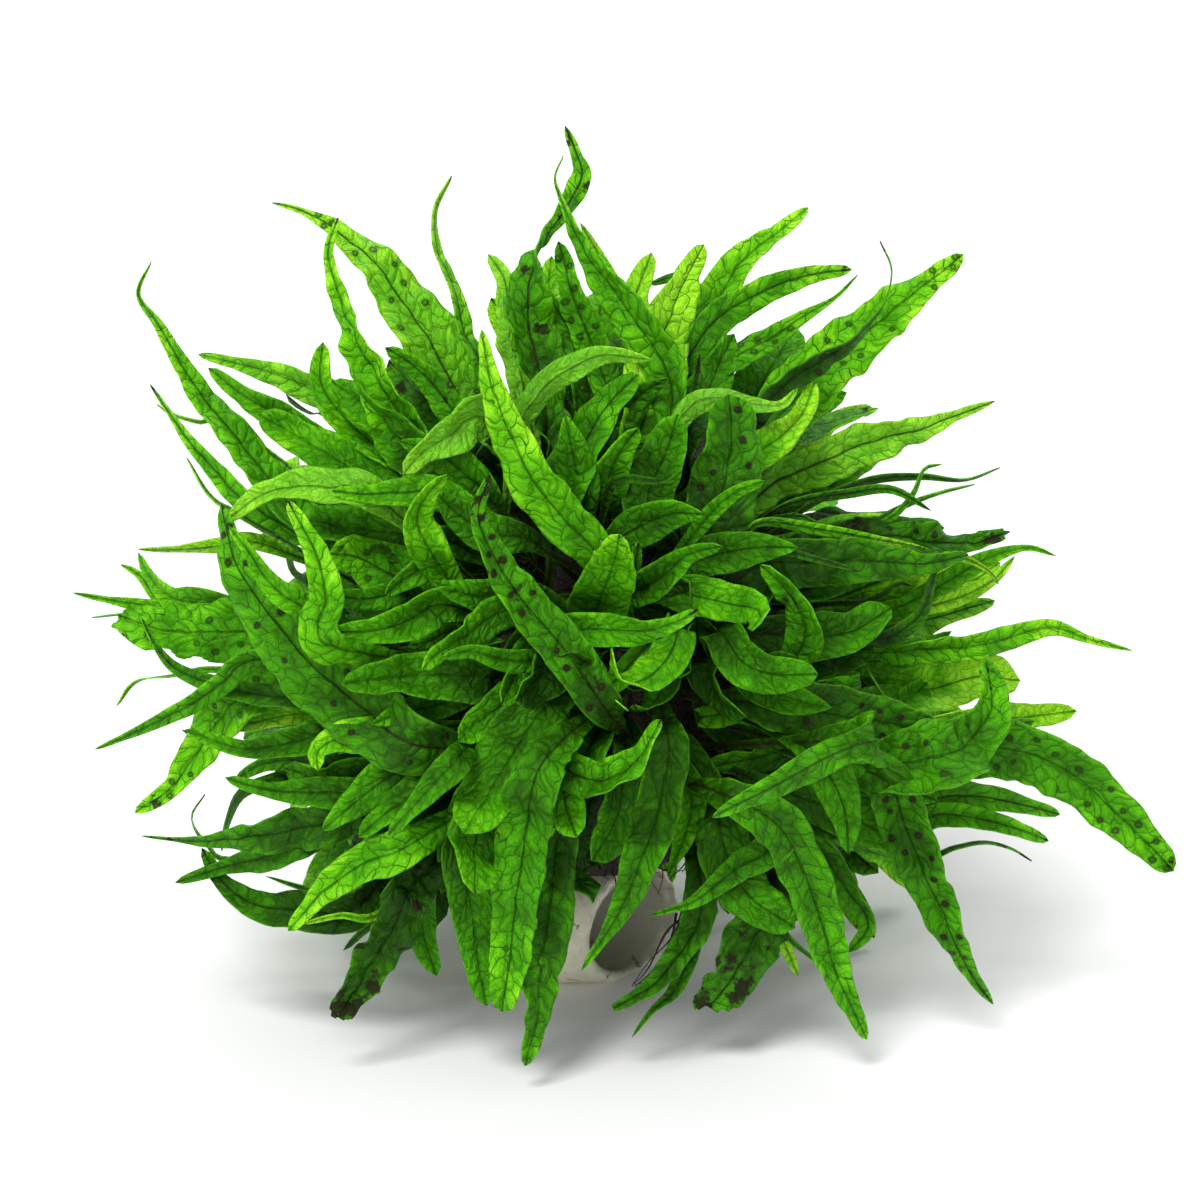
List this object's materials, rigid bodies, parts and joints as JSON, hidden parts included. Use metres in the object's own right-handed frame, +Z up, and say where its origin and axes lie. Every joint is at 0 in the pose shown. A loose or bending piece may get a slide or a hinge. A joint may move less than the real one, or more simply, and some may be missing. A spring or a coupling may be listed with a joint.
{
  "type": "green gnome java fern",
  "caption": "Dense clump of java fern grown over a short slant-cut ceramic tube: dark root mat, creeping stems and long veined green fronds on all sides.",
  "frame": {"origin": "middle of the holder tube's flat underside, on the surface that the clump stands on", "axes": "X runs along the tube and is the clump's longest direction, Y points to the back, Z is up"},
  "size_m": [0.3289, 0.2509, 0.2557],
  "materials": {
    "holder_ceramic": "matte",
    "root_fibre": "matte",
    "small_frond_green": "satin",
    "frond_green": "satin"
  },
  "bodies": {
    "root": {"creeping_stem_back": "small_frond_green", "creeping_stem_back_left": "small_frond_green", "creeping_stem_back_right": "small_frond_green", "creeping_stem_front": "small_frond_green", "creeping_stem_front_left": "small_frond_green", "creeping_stem_front_right": "small_frond_green", "creeping_stem_left": "small_frond_green", "creeping_stem_right": "small_frond_green", "frond_centre_right_blunt": "frond_green", "frond_centre_right_torn": "frond_green", "frond_centre_short_broad": "frond_green", "frond_centre_smile": "frond_green", "frond_far_left_broad": "frond_green", "frond_far_right_drooping": "frond_green", "frond_front_damaged": "frond_green", "frond_front_left_large": "frond_green", "frond_front_left_midrib": "frond_green", "frond_front_low_bright": "frond_green", "frond_front_low_dark": "frond_green", "frond_front_small_dark": "frond_green", "frond_front_spotted": "frond_green", "frond_front_tall_bright": "frond_green", "frond_left_curled_tip": "frond_green", "frond_left_dark_curve": "frond_green", "frond_left_low_bright": "frond_green", "frond_left_low_crumpled": "frond_green", "frond_left_low_horizontal": "frond_green", "frond_left_lower_bright": "frond_green", "frond_left_lower_long": "frond_green", "frond_left_thin_tip": "frond_green", "frond_lower_front_right": "frond_green", "frond_lower_right_crossing": "frond_green", "frond_lower_right_long": "frond_green", "frond_lower_right_lower": "frond_green", "frond_lower_right_upper": "frond_green", "frond_right_bright_long": "frond_green", "frond_right_crumpled": "frond_green", "frond_right_middle": "frond_green", "frond_right_net_dark": "frond_green", "frond_right_spotted": "frond_green", "frond_right_upright": "frond_green", "frond_right_wavy_thin": "frond_green", "frond_top_bright": "frond_green", "frond_top_leaning": "frond_green", "frond_top_left_strand": "frond_green", "frond_top_right_spoon": "frond_green", "frond_top_twisted": "frond_green", "frond_tube_crossing": "frond_green", "frond_tube_hanging": "frond_green", "frond_upper_centre_broad": "frond_green", "frond_upper_centre_dark": "frond_green", "frond_upper_left_broad": "frond_green", "frond_upper_left_curled": "frond_green", "frond_upper_left_pale": "frond_green", "frond_upper_right_blunt": "frond_green", "frond_upper_right_broad": "frond_green", "frond_upper_right_tailed": "frond_green", "frond_upper_right_thin_dark": "frond_green", "holder_tube": "holder_ceramic", "root_mat": "root_fibre"}
  },
  "joints": []
}
